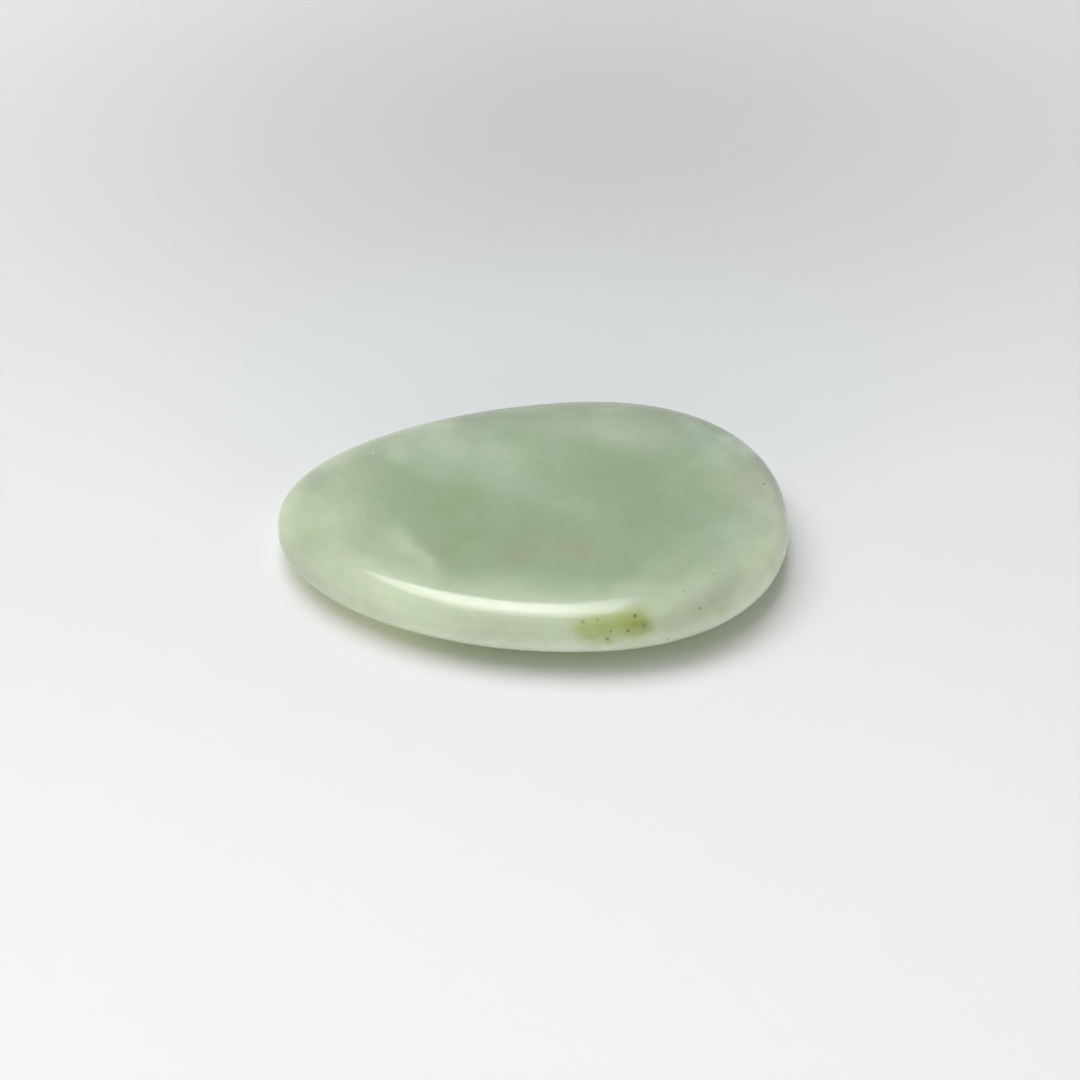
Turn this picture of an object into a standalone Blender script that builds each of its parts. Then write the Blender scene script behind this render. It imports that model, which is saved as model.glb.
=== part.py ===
"""Palm-sized gua sha scraper: a single pebble of polished jade, with nothing fixed to it.

The stone is egg-shaped seen from above. Its two faces are flat in the middle, and a full round
rim runs all the way between them. It lies on its underside on z = 0, its long axis along X and
its narrow end towards -X, and its box is centred over the origin.
"""

import math

import bmesh
import bpy
from mathutils import Matrix, Vector

# Driving dimensions, in metres
LENGTH = 0.080
WIDTH = 0.050
THICKNESS = 0.0092
RIM_WIDTH = 0.013  # from the edge in to where the face is flat

# Outline seen from above. The exponent is 2 for an ellipse and grows towards a rectangle.
# The other values are shares of the half width.
OUTLINE_EXPONENT = 2.14
TAPER = 0.173  # the wide end gains this much, and the narrow end loses it
BOW = 0.022  # both ends lean this far towards +Y
LEAN = -0.026  # the wide end leans this far in Y, and the narrow end the other way

# Rim section, from the edge up to the flat: 2 is an ellipse, and more has a fuller shoulder
RIM_EXPONENT = 5

# Mesh
SEGMENTS = 80  # round the outline
BANDS = 22  # from one flat, over the rim, to the other
TANGENT_STEP = 0.01  # radians either side of a point, to find the outline's direction there

NAME = "jade_stone"
COLLECTION = "gua_sha_scraper"

# Finish
JADE_GREEN = (0.32, 0.41, 0.27, 1.0)
POLISH_ROUGHNESS = 0.2
JADE_IOR = 1.61


def clear_scene():
    """Removes whatever the file opened with."""
    for scene_object in list(bpy.data.objects):
        bpy.data.objects.remove(scene_object, do_unlink=True)


def signed_power(value, exponent):
    """The power of the size of a value, with the value's own sign."""
    return math.copysign(abs(value) ** exponent, value)


def outline(angle):
    """The point of the stone's widest outline at this angle."""
    along = signed_power(math.cos(angle), 2 / OUTLINE_EXPONENT)
    across = signed_power(math.sin(angle), 2 / OUTLINE_EXPONENT) * (1 + TAPER * along)
    across += BOW * along**2 + LEAN * along**3
    return Vector((along * LENGTH / 2, across * WIDTH / 2))


def rim_share(angle):
    """The rim's width at this angle, as a share of the way from the edge to the middle."""
    direction = (outline(angle + TANGENT_STEP) - outline(angle - TANGENT_STEP)).normalized()
    outward = Vector((direction.y, -direction.x))
    return RIM_WIDTH / outline(angle).dot(outward)


def stone_point(angle, height):
    """Where the unit cylinder's point at this angle and height, from -1 to 1, lies on the stone."""
    latitude = height * math.pi / 2
    inset = 1 - max(math.cos(latitude), 0.0) ** (2 / RIM_EXPONENT)
    edge = outline(angle) * (1 - rim_share(angle) * inset)
    return Vector((edge.x, edge.y, THICKNESS / 2 * math.sin(latitude)))


def unit_cylinder():
    """A closed cylinder of radius 1 and height 2, its side cut into bands."""
    mesh = bmesh.new()
    bmesh.ops.create_cone(mesh, cap_ends=True, segments=SEGMENTS, radius1=1, radius2=1, depth=2)
    upright = [edge for edge in mesh.edges if abs(edge.verts[0].co.z - edge.verts[1].co.z) > 1]
    bmesh.ops.subdivide_edges(mesh, edges=upright, cuts=BANDS - 1)
    return mesh


def set_size(mesh):
    """Trims the shape to the driving dimensions and stands it on the origin."""
    low, high = (
        Vector([pick(vertex.co[axis] for vertex in mesh.verts) for axis in range(3)])
        for pick in (min, max)
    )
    sides = high - low
    base = Vector(((low.x + high.x) / 2, (low.y + high.y) / 2, low.z))
    scale = Matrix.Diagonal((LENGTH / sides.x, WIDTH / sides.y, THICKNESS / sides.z, 1))
    bmesh.ops.transform(mesh, matrix=scale @ Matrix.Translation(-base), verts=mesh.verts)


def jade_material():
    """Pale green polished jade."""
    material = bpy.data.materials.new("jade")
    material.use_nodes = True
    shader = material.node_tree.nodes["Principled BSDF"]
    shader.inputs["Base Color"].default_value = JADE_GREEN
    shader.inputs["Roughness"].default_value = POLISH_ROUGHNESS
    shader.inputs["Metallic"].default_value = 0.0
    shader.inputs["IOR"].default_value = JADE_IOR
    material.diffuse_color = JADE_GREEN
    return material


def make_stone(collection):
    """The stone, as one closed body."""
    shape = unit_cylinder()
    for vertex in shape.verts:
        vertex.co = stone_point(math.atan2(vertex.co.y, vertex.co.x), vertex.co.z)
    set_size(shape)
    mesh = bpy.data.meshes.new(NAME)
    shape.to_mesh(mesh)
    shape.free()
    mesh.shade_smooth()
    mesh.materials.append(jade_material())
    collection.objects.link(bpy.data.objects.new(NAME, mesh))


def main():
    clear_scene()
    collection = bpy.data.collections.new(COLLECTION)
    bpy.context.scene.collection.children.link(collection)
    make_stone(collection)


main()
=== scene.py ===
"""Looks of the palm-sized jade gua sha scraper: one polished pebble on a pale studio sweep.

The stone is one piece. Its surface is rebuilt finer than in the CAD model, with the slight unevenness
of hand polishing, and takes a procedural jade: a green core with painted glow towards the thin rim, the
lower rim, the underside and the narrow end, painted shade on parts of the rim, clouds, veins, an olive
inclusion, mineral specks and two painted glints, that all lie in the stone's own space.
"""

import math

import bmesh
import bpy
import numpy as np
from mathutils import Matrix, Vector, noise


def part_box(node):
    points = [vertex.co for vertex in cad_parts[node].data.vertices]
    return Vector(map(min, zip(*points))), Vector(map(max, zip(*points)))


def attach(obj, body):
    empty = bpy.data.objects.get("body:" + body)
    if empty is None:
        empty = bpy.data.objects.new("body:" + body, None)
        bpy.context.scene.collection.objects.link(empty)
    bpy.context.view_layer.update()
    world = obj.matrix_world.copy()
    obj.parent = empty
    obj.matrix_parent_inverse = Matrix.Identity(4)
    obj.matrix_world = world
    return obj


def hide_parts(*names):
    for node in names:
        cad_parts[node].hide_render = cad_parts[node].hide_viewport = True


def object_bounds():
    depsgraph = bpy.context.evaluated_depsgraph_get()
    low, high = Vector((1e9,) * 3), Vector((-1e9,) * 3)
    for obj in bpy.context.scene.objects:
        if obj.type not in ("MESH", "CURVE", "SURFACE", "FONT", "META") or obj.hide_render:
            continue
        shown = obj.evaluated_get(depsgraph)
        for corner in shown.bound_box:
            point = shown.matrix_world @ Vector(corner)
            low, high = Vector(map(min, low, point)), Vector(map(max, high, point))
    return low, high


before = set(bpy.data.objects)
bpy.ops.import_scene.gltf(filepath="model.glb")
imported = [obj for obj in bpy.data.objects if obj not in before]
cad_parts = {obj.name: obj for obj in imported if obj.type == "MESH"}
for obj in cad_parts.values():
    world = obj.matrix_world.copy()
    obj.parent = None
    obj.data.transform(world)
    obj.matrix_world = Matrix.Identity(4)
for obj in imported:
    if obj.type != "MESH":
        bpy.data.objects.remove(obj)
cad_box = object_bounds()

MM = 0.001

# The stone's outline and rim, as in part.py. Its size comes from the frame.
OUTLINE_EXPONENT = 2.14
TAPER = 0.173  # the wide end gains this share of the half width, and the narrow end loses it
BOW = 0.022
LEAN = -0.026
RIM_WIDTH = 13 * MM
RIM_EXPONENT = 5

# The stone's mesh
CELLS = 96  # along each edge of the cube that it starts from
ANGLE_STEP = 0.01  # to each side, where the outline's direction is measured
POLE_LATITUDE = math.radians(50)  # on that cube's sphere, where the rim ends and the flat begins
RIM_SAMPLES = 2000
WAVINESS = 0.035 * MM  # how far polishing left the surface from true
WAVE_LENGTH = 11 * MM

# Jade colours; those of the rim, the narrow end and the underside are painted glow and shade
CORE_GREEN = (0.381, 0.472, 0.324)
# Painted shade: the upper rim darker at the rear
REAR_RIM_SHADE = (0.264, 0.305, 0.235)
# Painted glow: the upper rim paler at the front, standing for light through the stone and the overhead
# light's sheen
FRONT_RIM_GLOW = (0.704, 0.783, 0.595)
# Painted glow: the narrow end paler, standing for light through its thin stone and the overhead light's
# sheen
TIP_GLOW = (0.496, 0.565, 0.417)
# Painted glow: the underside paler and yellower, tinting the floor's shadow as light through the stone
# would
UNDERSIDE_GLOW = (0.50, 0.57, 0.33)
# The lower rim at the rear, without the painted glow of its front
REAR_UNDER = (0.40, 0.455, 0.355)
# Painted glow: the lower rim paler at the front, lightening it where it lies in shade
LOWER_RIM_GLOW = (0.868, 0.929, 0.787)
OLIVE = (0.465, 0.545, 0.145)
OLIVE_PALE = (0.49, 0.59, 0.205)
OLIVE_DEEP = (0.393, 0.439, 0.122)
SPECK_DARK = (0.07, 0.075, 0.04)
SPECK_GREEN = (0.22, 0.26, 0.07)
SPECK_RUST = (0.20, 0.11, 0.07)
# Painted glint: the light caught in a tiny surface pit
PIT_GLINT = (0.85, 0.88, 0.80)

# Where each of the stone's base colours, with their painted glow and shade, begins and ends
REAR_TO_FRONT = (12 * MM, -16 * MM)  # in Y, on the upper rim
REAR_TO_FRONT_UNDER = (6 * MM, -6 * MM)  # in Y, on the lower rim
UPPER_TO_LOWER = (6.5 * MM, 1.5 * MM)  # in Z, on the rim
CORE_TO_RIM = (13 * MM, 0.0)  # inwards from the edge
SIDE_TO_UNDERSIDE = (2.6 * MM, 0.0)  # in Z
BODY_TO_TIP = (-18 * MM, -33 * MM)  # in X

# Noise that makes colours uneven: size and depth, in metres
DRIFT = (14 * MM, 8 * MM)
BODY_WARP = ((9 * MM, 7 * MM),)
CLOUD_WARP = ((12 * MM, 9 * MM), (4 * MM, 2.5 * MM))
VEIN_WARP = ((3 * MM, 0.9 * MM),)
OLIVE_WARP = ((2.5 * MM, 1.6 * MM), (0.8 * MM, 0.5 * MM))
SPECK_WARP = ((0.35 * MM, 0.16 * MM),)
OLIVE_GRAIN = 1.1 * MM

# Faint mottling all through the stone: size, detail, and how far it lightens or darkens
MOTTLING_ROUGHNESS = 0.6
NOISE_RANGE = (0.2, 0.8)  # where nearly all of a noise's values lie
MOTTLING = ((13 * MM, 4, 0.08), (2.5 * MM, 3, 0.035), (0.5 * MM, 2, 0.03))

# Clouds in the stone, and painted shade and glow on its rim, in mm: name, centre, radii, turn about Z in
# degrees, colour, strength
CLOUDS = (
    ("pale_diagonal", (-11, 12, 7), (20, 10, 9), -28, (0.575, 0.665, 0.52), 0.75),
    ("grass_patch", (-13, 0.5, 8), (8, 6, 6), 20, (0.355, 0.465, 0.255), 0.6),
    ("grass_tail", (-12.5, -8.5, 8), (5, 8, 6), 5, (0.366, 0.452, 0.27), 0.6),
    ("deep_right", (16, -1.0, 7), (11, 7, 6), 15, (0.337, 0.42, 0.29), 0.6),
    ("pale_rear", (17, 15, 7), (15, 6.5, 8), -8, (0.505, 0.58, 0.45), 0.75),
    ("pale_corner", (32, 10, 6), (8, 7, 8), 30, (0.62, 0.72, 0.58), 0.8),
    ("pale_front", (24, -12, 7), (14, 5.5, 8), 42, (0.50, 0.573, 0.434), 0.7),
    ("brown_left", (-1.9, -8.9, 8.5), (7, 4.5, 5), 30, (0.401, 0.429, 0.305), 0.7),
    ("brown_right", (6.9, -9.3, 8.5), (6, 4, 5), -20, (0.41, 0.419, 0.296), 0.7),
    ("pale_streak", (6.6, -1.3, 9), (9, 4, 4), -25, (0.467, 0.554, 0.418), 0.45),
    ("tan_rear", (7.1, 17, 8.5), (10, 5, 5), 0, (0.455, 0.51, 0.40), 0.7),
    ("tan_right", (34, 2.0, 8), (7, 9, 6), 10, (0.52, 0.565, 0.435), 0.65),
    ("teal_right", (30.0, -8, 8), (7, 5, 6), 40, (0.475, 0.585, 0.47), 0.65),
    ("teal_rear", (28, 13, 8), (6, 4.5, 6), -30, (0.49, 0.60, 0.50), 0.6),
    ("yellow_left", (-30, -2.5, 8), (9, 8, 6), 0, (0.57, 0.65, 0.47), 0.6),
    ("pale_nick", (15, -18.5, 8), (7, 4.5, 6), 15, (0.56, 0.64, 0.49), 0.6),
    ("grass_left", (-20, 2, 8), (8, 5, 6), 0, (0.405, 0.51, 0.325), 0.42),
    ("pale_dot", (26, -4, 9), (4, 3, 4), 0, (0.47, 0.555, 0.43), 0.6),
    # Painted shade: the rear of the rim near the narrow end, darker
    ("rim_shade_left", (-34.5, 10.5, 5), (12, 7, 9), 36, (0.305, 0.352, 0.278), 0.75),
    # A milky cloud beside the vein, made strong on the front-left rim as painted glow
    ("milk_and_glow_left", (-25, -15, 4), (17, 9, 9), -30, (0.793, 0.872, 0.674), 0.95),
    ("milk_front", (-20.5, -9, 8), (12, 6.5, 6), -50, (0.60, 0.68, 0.52), 0.75),
    ("calm_front", (24.5, -19, 6), (10, 5, 6), 40, (0.475, 0.54, 0.41), 0.7),
    ("milk_rear", (-22, 12, 8), (6, 4, 6), -20, (0.58, 0.675, 0.53), 0.5),
    ("pale_crest", (-5, 17, 8), (10, 4.5, 6), 0, (0.47, 0.55, 0.43), 0.5),
    ("pale_wide", (37.5, -1, 5), (6, 13, 7), 0, (0.61, 0.70, 0.57), 0.45),
    ("pale_gap", (4, 12, 8.5), (6, 3.5, 5), 0, (0.46, 0.54, 0.425), 0.4),
    ("pale_left", (-19.5, -4.5, 8), (5, 3.5, 5), 0, (0.53, 0.62, 0.46), 0.4),
    # Painted shade along the rear of the rim
    ("rim_shade_rear", (-17, 19, 6), (9, 5, 7), 20, (0.34, 0.40, 0.31), 0.35),
    # Painted shade along the rear of the rim, to the right
    ("rim_shade_corner", (20, 21, 6), (11, 4, 7), -10, (0.37, 0.43, 0.34), 0.3),
    # Painted shade: the front rim darker near the wide end
    ("rim_shade_front", (29, -14.5, 7), (7, 4.5, 6), 45, (0.42, 0.485, 0.375), 0.55),
    ("milk_middle", (-2, 4.5, 8), (12, 5, 6), 0, (0.45, 0.545, 0.41), 0.45),
)

# Thin veins and stains: centre, radii, turn, colour, strength
VEINS = (
    ((-18.2, -9.6, 9.2), (8.5, 2.2, 3.5), -52, (0.63, 0.70, 0.54), 0.4),
    ((-15.6, -8.6, 9.2), (7, 2.0, 3.0), -55, (0.38, 0.40, 0.26), 0.4),
    ((18.5, -22.6, 7.6), (1.6, 0.14, 0.5), 12, (0.80, 0.86, 0.74), 0.6),
    ((27.3, -20.5, 6.2), (1.4, 1.4, 1.6), 0, (0.60, 0.68, 0.33), 0.4),
    ((23.8, -21.5, 7.1), (1.6, 1.4, 1.4), 0, (0.58, 0.64, 0.36), 0.3),
    ((10.1, -24.8, 5.3), (0.7, 0.7, 0.9), 0, (0.50, 0.38, 0.16), 0.5),
)

# The olive inclusion on the front rim, in mm and from the lowest layer up: centre, radii, colour, strength
OLIVE_CORE = 0.2  # how much of each lobe is of even strength
OLIVE_LOBES = (
    ((8.6, -23.8, 6.8), (5.6, 3.2, 3.8), OLIVE_PALE, 0.85),
    ((11.5, -23.6, 6.8), (4.6, 3.0, 3.4), OLIVE_PALE, 0.5),
    ((14.3, -23.2, 7.2), (4.2, 3.4, 3.8), OLIVE, 0.8),
    ((15.0, -23.2, 7.3), (2.6, 2.0, 2.2), OLIVE_DEEP, 0.55),
)

# Mineral specks on the surface, and two painted glints of tiny pits, in mm: place, radius, colour,
# strength
SPECK_SPREAD = 1.45  # how far each fades out, in its radii
SPECKS = (
    ((14.2, -22.4, 8.2), 0.32, SPECK_DARK, 0.7),
    ((10.5, -24.2, 7.0), 0.20, SPECK_DARK, 0.75),
    ((10.0, -24.7, 5.9), 0.28, SPECK_RUST, 0.85),
    ((13.1, -24.1, 6.8), 0.30, SPECK_DARK, 0.75),
    ((15.5, -23.5, 7.2), 0.42, SPECK_GREEN, 0.6),
    ((6.4, -23.1, 8.0), 0.34, SPECK_GREEN, 0.5),
    ((8.6, -22.9, 8.2), 0.30, SPECK_GREEN, 0.5),
    ((36.4, 3.1, 8.7), 0.22, SPECK_DARK, 0.95),
    ((37.9, 2.1, 8.0), 0.16, SPECK_DARK, 0.7),
    ((28.3, 7.3, 9.2), 0.20, SPECK_RUST, 0.5),
    ((26.7, -15.4, 9.0), 0.19, SPECK_DARK, 0.6),
    ((24.1, -20.8, 7.6), 0.20, SPECK_DARK, 0.7),
    ((21.9, -18.4, 8.9), 0.18, SPECK_DARK, 0.5),
    ((19.1, -23.8, 4.1), 0.22, SPECK_DARK, 0.6),
    ((-24.9, 12.1, 9.1), 0.22, PIT_GLINT, 0.95),
    ((-30.4, 6.7, 9.2), 0.16, PIT_GLINT, 0.6),
    ((-9.0, 23.2, 5.5), 0.22, SPECK_RUST, 0.7),
    ((21.5, 22.4, 3.0), 0.24, SPECK_DARK, 0.7),
    ((3.0, -8.0, 0.0), 0.24, SPECK_DARK, 0.7),
    ((-22.0, 6.0, 0.0), 0.20, SPECK_RUST, 0.7),
    ((27.0, -4.0, 0.1), 0.26, SPECK_DARK, 0.6),
)

# Polish
WEAR_SIZE = 3 * MM
WEAR_BUMP = 0.15
WEAR_DEPTH = 0.02 * MM
ROUGHNESS = 0.12
ROUGHNESS_SPREAD = 0.03
JADE_IOR = 1.61
SPECULAR_LEVEL = 0.68
SCATTER_RADIUS = (1.0, 1.15, 0.7)
SCATTER_SCALE = 4 * MM

# Light that passes each face of the stone into its shadow, and where it changes
THROUGH_CORE = (0.31, 0.355, 0.11)
THROUGH_RIM = (0.19, 0.225, 0.025)
THROUGH_TIP = (0.46, 0.475, 0.33)
THROUGH_WIDE = (0.26, 0.28, 0.20)
THROUGH_CORE_TO_RIM = (14 * MM, 0.0)  # inwards from the edge
THROUGH_TO_TIP = (-5 * MM, -32 * MM)  # in X
THROUGH_TO_WIDE = (16 * MM, 36 * MM)  # in X

# Studio, turned about the stone's centre so that the wide end is a little further from the camera
STUDIO_TURN = math.radians(-2.466)
CAMERA_DISTANCE = 0.33994
CAMERA_ELEVATION = math.radians(48.07)
CAMERA_ANGLE = math.radians(28)
CAMERA_SHIFT = (0.00634, -0.0154)
NEAREST_SEEN = 0.01

# Light panels overhead: name, slopes to their sides in X and in Y, radiance, seen in the polish
WINDOW_HEIGHT = 0.6
FILL_HEIGHT = 1.2
PANELS = (
    ("window", (-0.24, 0.03), (-0.02, 0.36), 4.7, True),
    ("window_front", (-0.28, 0.05), (-0.22, -0.02), 2.0, True),
    ("window_left", (-0.33, -0.24), (0.00, 0.34), 2.5, True),
    ("window_right", (0.03, 0.12), (-0.05, 0.45), 2.7, True),
    ("fill_left", (-1.25, -0.45), (0.16, 0.88), 6.1, False),
    ("fill_middle", (-0.45, 0.18), (0.36, 0.88), 6.2, False),
)
AMBIENT = 0.02
AMBIENT_COLOUR = (1.0, 1.0, 0.95)

# Floor, a bowl-shaped paper sweep
FLOOR_RADIUS = 0.32
SWEEP_RADIUS = 0.45
SWEEP_HEIGHT = 0.5
SWEEP_STEPS = 16
SWEEP_SEGMENTS = 96
FLOOR_DROP = 0.0001
MERGE_DISTANCE = 1e-6
PAPER_ROUGHNESS = 0.9
FLOOR_FRONT = (0.97, 0.975, 0.98)
FLOOR_REAR = (0.67, 0.675, 0.675)
FLOOR_FRONT_TO_REAR = (-0.16, 0.12)  # in Y

# Patches laid on the floor's colour, greyer far behind the stone and cooler close behind it, in mm:
# centre, radii, colour, strength
FLOOR_TINTS = (
    ((10, 110, 0), (150, 110, 90), (0.487, 0.493, 0.503), 0.8),
    ((6, 36, 0), (80, 46, 90), (0.60, 0.675, 0.678), 0.55),
)


def signed_power(values, exponent):
    """The power of the size of each value, with the value's own sign."""
    return np.copysign(np.abs(values) ** exponent, values)


def outline(angle, half):
    """The points of the stone's widest outline at these angles."""
    along = signed_power(np.cos(angle), 2 / OUTLINE_EXPONENT)
    across = signed_power(np.sin(angle), 2 / OUTLINE_EXPONENT) * (1 + TAPER * along)
    across += BOW * along**2 + LEAN * along**3
    return np.stack([along * half.x, across * half.y], -1)


def rim_share(angle, half):
    """The rim's width at these angles, as a share of the way from the edge to the middle."""
    step = outline(angle + ANGLE_STEP, half) - outline(angle - ANGLE_STEP, half)
    step /= np.linalg.norm(step, axis=-1, keepdims=True)
    edge = outline(angle, half)
    return RIM_WIDTH / (edge[:, 0] * step[:, 1] - edge[:, 1] * step[:, 0])


def stone_points(directions, half):
    """Points of the stone's surface for these directions, and how far each lies in from the edge."""
    angle = np.arctan2(directions[:, 1], directions[:, 0])
    latitude = np.arctan2(directions[:, 2], np.hypot(directions[:, 0], directions[:, 1]))
    inset = np.linspace(0, 1, RIM_SAMPLES) ** 2
    height = half.z * np.sqrt(1 - (1 - inset) ** RIM_EXPONENT)
    steps = np.hypot(np.diff(inset) * RIM_WIDTH, np.diff(height))
    run = np.concatenate([[0], np.cumsum(steps)])
    share = np.clip(np.abs(latitude) / POLE_LATITUDE, 0, 1) * run[-1]
    inset_here = np.interp(share, run, inset)
    height_here = np.sign(latitude) * np.interp(share, run, height)
    flat = np.clip((math.pi / 2 - np.abs(latitude)) / (math.pi / 2 - POLE_LATITUDE), 0, 1)
    width = flat * (1 - rim_share(angle, half) * inset_here)
    places = np.concatenate([outline(angle, half) * width[:, None], height_here[:, None]], 1)
    middle = np.linalg.norm(outline(angle, half), axis=1) * (1 - width)
    return places, middle


def ball_of_cells():
    """A cube cut into even cells, as a mesh, with the directions of its points."""
    shape = bmesh.new()
    bmesh.ops.create_cube(shape, size=2)
    bmesh.ops.subdivide_edges(shape, edges=shape.edges, cuts=CELLS - 1, use_grid_fill=True)
    mesh = bpy.data.meshes.new("polished_jade")
    shape.to_mesh(mesh)
    shape.free()
    points = np.empty(len(mesh.vertices) * 3, np.float32)
    mesh.vertices.foreach_get("co", points)
    return mesh, np.tan(points.reshape(-1, 3) * math.pi / 4)


def waviness(places):
    """How far polishing moved each point, as a share of WAVINESS."""
    return np.array([noise.noise(Vector(place) / WAVE_LENGTH) for place in places])


def stone_mesh():
    """The stone's surface, scaled to fill the CAD solid's box, with its distance in from the edge."""
    low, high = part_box("jade_stone")
    half = (high - low) / 2
    mesh, directions = ball_of_cells()
    places, inset = stone_points(directions, half)
    outward = places / np.array(half) ** 2
    outward /= np.linalg.norm(outward, axis=1, keepdims=True)
    places += outward * (waviness(places) * WAVINESS)[:, None]
    side = places.max(0) - places.min(0)
    places = (places - (places.min(0) + places.max(0)) / 2) * np.array(high - low) / side
    places += np.array((low + high) / 2)
    mesh.vertices.foreach_set("co", places.astype(np.float32).ravel())
    mesh.attributes.new("inset", "FLOAT", "POINT").data.foreach_set("value", inset.astype(np.float32))
    mesh.shade_smooth()
    mesh.update()
    return mesh


class Nodes:
    """Short ways to add shader nodes to one material."""

    def __init__(self, material):
        self.tree = material.node_tree

    def feed(self, socket, value):
        """Links a socket to another, or sets its value."""
        if isinstance(value, bpy.types.NodeSocket):
            self.tree.links.new(value, socket)
        else:
            socket.default_value = value

    def add(self, kind, settings, inputs):
        """A node of a kind, with its settings, its inputs fed by name or number."""
        node = self.tree.nodes.new("ShaderNode" + kind)
        for name, value in settings.items():
            setattr(node, name, value)
        for key, value in inputs.items():
            self.feed(node.inputs[key], value)
        return node

    def math(self, operation, first, second=0.0):
        """One number from two."""
        return self.add("Math", {"operation": operation}, {0: first, 1: second}).outputs[0]

    def vector(self, operation, first, second=(0, 0, 0)):
        """One vector from two, or a length where the operation gives one."""
        node = self.add("VectorMath", {"operation": operation}, {0: first, 1: second})
        return node.outputs["Value" if operation == "LENGTH" else "Vector"]

    def ramp(self, value, start, end, low=0.0, high=1.0):
        """A smooth step from low at start to high at end."""
        inputs = {"Value": value, "From Min": start, "From Max": end, "To Min": low, "To Max": high}
        return self.add("MapRange", {"interpolation_type": "SMOOTHSTEP"}, inputs).outputs[0]

    def mix(self, share, first, second):
        """A blend of two colours."""
        node = self.add("Mix", {"data_type": "RGBA"}, {0: share})
        for socket, value in ((node.inputs[6], first), (node.inputs[7], second)):
            self.feed(socket, (*value, 1) if isinstance(value, tuple) else value)
        return node.outputs[2]

    def noise(self, point, size, detail=2.0, roughness=0.5):
        """A noise node whose features are about this size."""
        inputs = {"Vector": point, "Scale": 1 / size, "Detail": detail, "Roughness": roughness}
        return self.add("TexNoise", {}, inputs)

    def warped(self, point, waves):
        """The point moved by noise of each size in turn, by up to about half its depth each way."""
        for size, depth in waves:
            shift = self.vector("SUBTRACT", self.noise(point, size).outputs["Color"], (0.5,) * 3)
            point = self.vector("ADD", point, self.vector("MULTIPLY", shift, (depth,) * 3))
        return point

    def blob(self, point, centre, radii, turn=0.0, core=0.0):
        """1 in the core of an ellipsoid, falling smoothly to 0 at its surface. Sizes in mm."""
        offset = self.vector("SUBTRACT", point, tuple(value * MM for value in centre))
        if turn:
            settings = {"rotation_type": "Z_AXIS"}
            inputs = {"Vector": offset, "Angle": -math.radians(turn)}
            offset = self.add("VectorRotate", settings, inputs).outputs[0]
        scaled = self.vector("DIVIDE", offset, tuple(value * MM for value in radii))
        return self.ramp(self.vector("LENGTH", scaled), 1.0, core)

    def patch(self, colour, tint, mask, strength):
        """The colour with a tint laid over it, as strong as the mask there times the strength."""
        return self.mix(self.math("MULTIPLY", mask, strength), colour, tint)


def jade_body_and_painted_light(nodes, point, inset):
    """A green core, with painted glow towards the rim, on the lower rim's front, on the underside and at
    the narrow end, and painted shade at the upper rim's rear.
    """
    drift_size, drift_depth = DRIFT
    drift = nodes.math("SUBTRACT", nodes.noise(point, drift_size, 3).outputs["Fac"], 0.5)
    edge = nodes.math("ADD", inset, nodes.math("MULTIPLY", drift, drift_depth))
    place = nodes.add("SeparateXYZ", {}, {0: nodes.warped(point, BODY_WARP)}).outputs
    height = nodes.add("SeparateXYZ", {}, {0: point}).outputs["Z"]
    # Painted shade at the rear of the upper rim, painted glow at its front
    upper = nodes.mix(nodes.ramp(place["Y"], *REAR_TO_FRONT), REAR_RIM_SHADE, FRONT_RIM_GLOW)
    # Painted glow on the front of the lower rim
    lower = nodes.mix(nodes.ramp(place["Y"], *REAR_TO_FRONT_UNDER), REAR_UNDER, LOWER_RIM_GLOW)
    rim = nodes.mix(nodes.ramp(place["Z"], *UPPER_TO_LOWER), upper, lower)
    # The painted rim colours fade into the core green inwards from the edge
    colour = nodes.mix(nodes.ramp(edge, *CORE_TO_RIM), CORE_GREEN, rim)
    # Painted glow on the underside
    colour = nodes.mix(nodes.ramp(height, *SIDE_TO_UNDERSIDE), colour, UNDERSIDE_GLOW)
    # Painted glow at the narrow end
    return nodes.mix(nodes.ramp(place["X"], *BODY_TO_TIP), colour, TIP_GLOW)


def with_clouds(nodes, colour, point):
    """Adds the placed clouds, with the painted shade and glow among them, and the thin veins."""
    soft = nodes.warped(point, CLOUD_WARP)
    for _, centre, radii, turn, tint, strength in CLOUDS:
        colour = nodes.patch(colour, tint, nodes.blob(soft, centre, radii, turn), strength)
    thin = nodes.warped(point, VEIN_WARP)
    for centre, radii, turn, tint, strength in VEINS:
        colour = nodes.patch(colour, tint, nodes.blob(thin, centre, radii, turn), strength)
    return colour


def with_mottling(nodes, colour, point):
    """Lightens and darkens the colour a little, all through the stone."""
    for size, detail, spread in MOTTLING:
        value = nodes.noise(point, size, detail, MOTTLING_ROUGHNESS).outputs["Fac"]
        inputs = {"Value": value, "From Min": NOISE_RANGE[0], "From Max": NOISE_RANGE[1]}
        inputs.update({"To Min": 1 - spread, "To Max": 1 + spread})
        gain = nodes.add("MapRange", {}, inputs).outputs[0]
        scaled = nodes.add("VectorMath", {"operation": "SCALE"}, {0: colour, "Scale": gain})
        colour = scaled.outputs["Vector"]
    return colour


def with_inclusion(nodes, colour, point):
    """Adds the olive patch on the front rim, ragged at its edge and uneven inside."""
    ragged = nodes.warped(point, OLIVE_WARP)
    grain = nodes.ramp(nodes.noise(point, OLIVE_GRAIN, 3, 0.6).outputs["Fac"], 0.3, 0.6, 0.75, 1.0)
    for centre, radii, tint, strength in OLIVE_LOBES:
        mask = nodes.math("MULTIPLY", nodes.blob(ragged, centre, radii, core=OLIVE_CORE), grain)
        colour = nodes.patch(colour, tint, mask, strength)
    return colour


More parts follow.
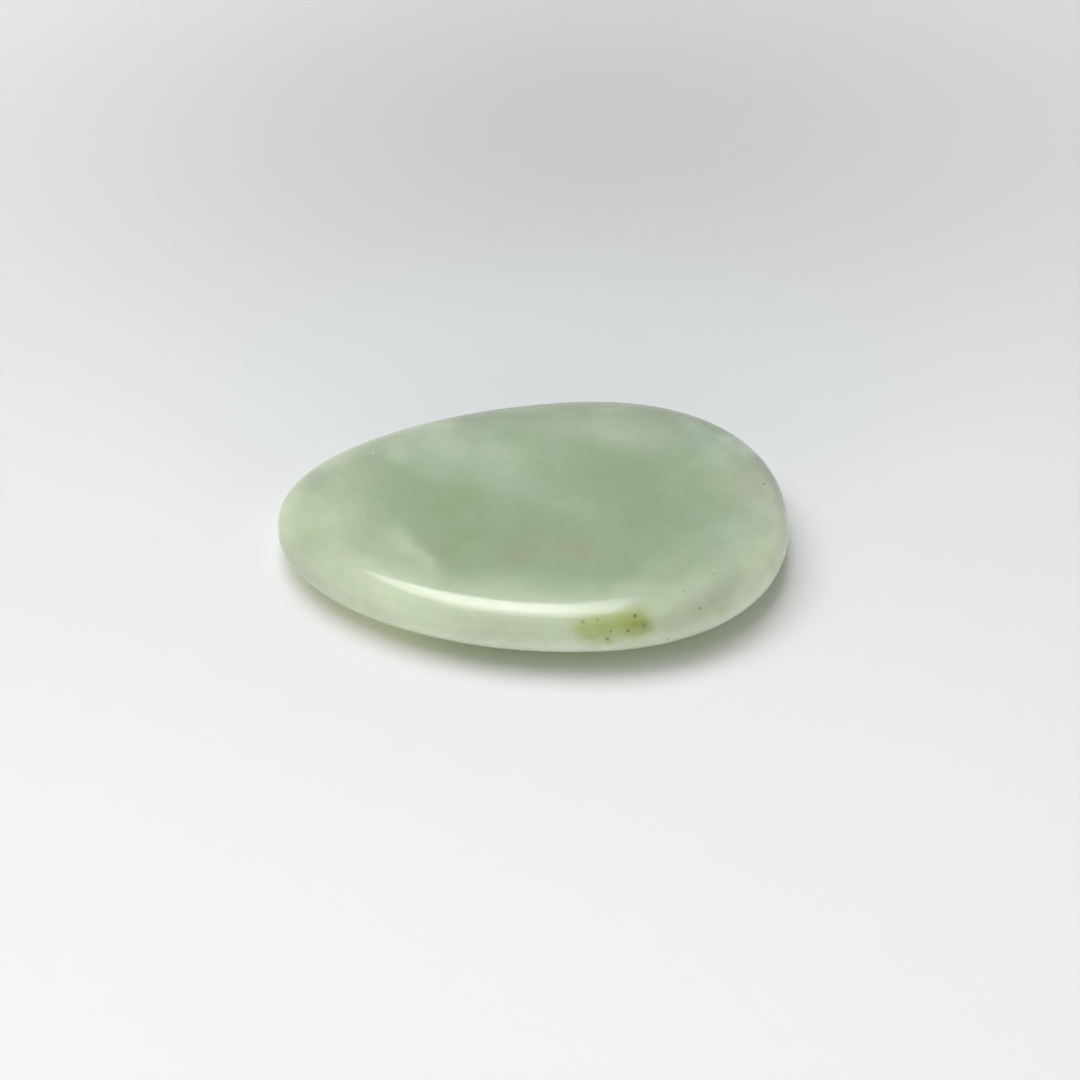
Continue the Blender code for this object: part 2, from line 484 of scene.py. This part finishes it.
def with_specks(nodes, colour, point):
    """Adds the mineral specks and the painted pit glints, each with a slightly uneven edge."""
    uneven = nodes.warped(point, SPECK_WARP)
    for place, radius, tint, strength in SPECKS:
        mask = nodes.blob(uneven, place, (radius * SPECK_SPREAD,) * 3)
        colour = nodes.patch(colour, tint, mask, strength)
    return colour


def light_through(nodes, point, inset):
    """The share of light that each face lets through into the stone's shadow."""
    colour = nodes.mix(nodes.ramp(inset, *THROUGH_CORE_TO_RIM), THROUGH_CORE, THROUGH_RIM)
    along = nodes.add("SeparateXYZ", {}, {0: point}).outputs["X"]
    colour = nodes.mix(nodes.ramp(along, *THROUGH_TO_TIP), colour, THROUGH_TIP)
    return nodes.mix(nodes.ramp(along, *THROUGH_TO_WIDE), colour, THROUGH_WIDE)


def jade_material():
    """Translucent green jade under a soft polish."""
    material = bpy.data.materials.new("polished_jade")
    material.use_nodes = True
    nodes = Nodes(material)
    shader = material.node_tree.nodes["Principled BSDF"]
    point = nodes.add("TexCoord", {}, {}).outputs["Object"]
    inset = nodes.add("Attribute", {"attribute_name": "inset"}, {}).outputs["Fac"]
    colour = jade_body_and_painted_light(nodes, point, inset)
    colour = with_clouds(nodes, colour, point)
    colour = with_mottling(nodes, colour, point)
    colour = with_inclusion(nodes, colour, point)
    colour = with_specks(nodes, colour, point)
    nodes.feed(shader.inputs["Base Color"], colour)
    wear = nodes.noise(point, WEAR_SIZE, 5, 0.65).outputs["Fac"]
    low, high = ROUGHNESS - ROUGHNESS_SPREAD, ROUGHNESS + ROUGHNESS_SPREAD
    nodes.feed(shader.inputs["Roughness"], nodes.ramp(wear, 0.3, 0.7, low, high))
    bump = nodes.add("Bump", {}, {"Strength": WEAR_BUMP, "Distance": WEAR_DEPTH, "Height": wear})
    nodes.feed(shader.inputs["Normal"], bump.outputs[0])
    shader.inputs["IOR"].default_value = JADE_IOR
    shader.inputs["Specular IOR Level"].default_value = SPECULAR_LEVEL
    shader.inputs["Subsurface Weight"].default_value = 1.0
    shader.inputs["Subsurface Radius"].default_value = SCATTER_RADIUS
    shader.inputs["Subsurface Scale"].default_value = SCATTER_SCALE
    shader.subsurface_method = "RANDOM_WALK"
    passing = light_through(nodes, point, inset)
    clear = nodes.add("BsdfTransparent", {}, {"Color": passing}).outputs[0]
    in_shadow = nodes.add("LightPath", {}, {}).outputs["Is Shadow Ray"]
    surface = nodes.add("MixShader", {}, {0: in_shadow, 1: shader.outputs[0], 2: clear}).outputs[0]
    nodes.feed(material.node_tree.nodes["Material Output"].inputs["Surface"], surface)
    return material


def add_stone():
    """The stone, as the piece that stands for the CAD solid."""
    stone = bpy.data.objects.new("polished_jade", stone_mesh())
    bpy.context.scene.collection.objects.link(stone)
    stone.data.materials.append(jade_material())
    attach(stone, "root")
    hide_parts("jade_stone")


def paper_material():
    """Matt paper, greyer towards the rear and slightly cooler close behind the stone."""
    material = bpy.data.materials.new("sweep_paper")
    material.use_nodes = True
    nodes = Nodes(material)
    shader = material.node_tree.nodes["Principled BSDF"]
    point = nodes.add("TexCoord", {}, {}).outputs["Object"]
    across = nodes.add("SeparateXYZ", {}, {0: point}).outputs["Y"]
    colour = nodes.mix(nodes.ramp(across, *FLOOR_FRONT_TO_REAR), FLOOR_FRONT, FLOOR_REAR)
    for centre, radii, tint, strength in FLOOR_TINTS:
        colour = nodes.patch(colour, tint, nodes.blob(point, centre, radii), strength)
    nodes.feed(shader.inputs["Base Color"], colour)
    shader.inputs["Roughness"].default_value = PAPER_ROUGHNESS
    shader.inputs["Specular IOR Level"].default_value = 0.0
    return material


def add_floor():
    """A round paper floor whose edge curves up into a wall."""
    profile = [(0.0, 0.0), (FLOOR_RADIUS, 0.0)]
    for step in range(1, SWEEP_STEPS + 1):
        angle = math.pi / 2 * step / SWEEP_STEPS
        out = FLOOR_RADIUS + SWEEP_RADIUS * math.sin(angle)
        profile.append((out, SWEEP_HEIGHT * (1 - math.cos(angle))))
    shape = bmesh.new()
    ring = [shape.verts.new((radius, 0, height - FLOOR_DROP)) for radius, height in profile]
    edges = [shape.edges.new(pair) for pair in zip(ring, ring[1:])]
    round_up = {"axis": (0, 0, 1), "angle": 2 * math.pi, "steps": SWEEP_SEGMENTS, "use_merge": True}
    bmesh.ops.spin(shape, geom=ring + edges, cent=(0, 0, 0), **round_up)
    bmesh.ops.remove_doubles(shape, verts=shape.verts, dist=MERGE_DISTANCE)
    bmesh.ops.recalc_face_normals(shape, faces=shape.faces)
    mesh = bpy.data.meshes.new("studio_sweep")
    shape.to_mesh(mesh)
    shape.free()
    mesh.shade_smooth()
    floor = bpy.data.objects.new("studio_sweep", mesh)
    bpy.context.scene.collection.objects.link(floor)
    floor.data.materials.append(paper_material())


def add_lights(turn):
    """The panels overhead, and the faint light of the room."""
    for name, slopes_x, slopes_y, radiance, mirrored in PANELS:
        height = WINDOW_HEIGHT if mirrored else FILL_HEIGHT
        light = bpy.data.lights.new(name, "AREA")
        light.shape = "RECTANGLE"
        light.size = (slopes_x[1] - slopes_x[0]) * height
        light.size_y = (slopes_y[1] - slopes_y[0]) * height
        light.energy = radiance * math.pi * light.size * light.size_y
        panel = bpy.data.objects.new(name, light)
        bpy.context.scene.collection.objects.link(panel)
        middle = Vector((sum(slopes_x) / 2, sum(slopes_y) / 2, 1)) * height
        panel.matrix_world = turn @ Matrix.Translation(middle)
        panel.visible_glossy = mirrored
    world = bpy.data.worlds.new("studio_ambient")
    world.use_nodes = True
    world.node_tree.nodes["Background"].inputs["Color"].default_value = (*AMBIENT_COLOUR, 1)
    world.node_tree.nodes["Background"].inputs["Strength"].default_value = AMBIENT
    bpy.context.scene.world = world
    bpy.context.scene.view_settings.view_transform = "Standard"


def add_camera(turn):
    """The camera, looking down at the stone's centre."""
    lens = bpy.data.cameras.new("camera")
    lens.angle = CAMERA_ANGLE
    lens.shift_x, lens.shift_y = CAMERA_SHIFT
    lens.clip_start = NEAREST_SEEN
    camera = bpy.data.objects.new("camera", lens)
    bpy.context.scene.collection.objects.link(camera)
    back = Vector((0, -math.cos(CAMERA_ELEVATION), math.sin(CAMERA_ELEVATION)))
    back = turn.to_3x3() @ back
    camera.rotation_mode = "QUATERNION"
    camera.rotation_quaternion = back.to_track_quat("Z", "Y")
    camera.location = (cad_box[0] + cad_box[1]) / 2 + back * CAMERA_DISTANCE
    bpy.context.scene.camera = camera


studio_turn = Matrix.Rotation(STUDIO_TURN, 4, "Z")
add_stone()
add_floor()
add_lights(studio_turn)
add_camera(studio_turn)
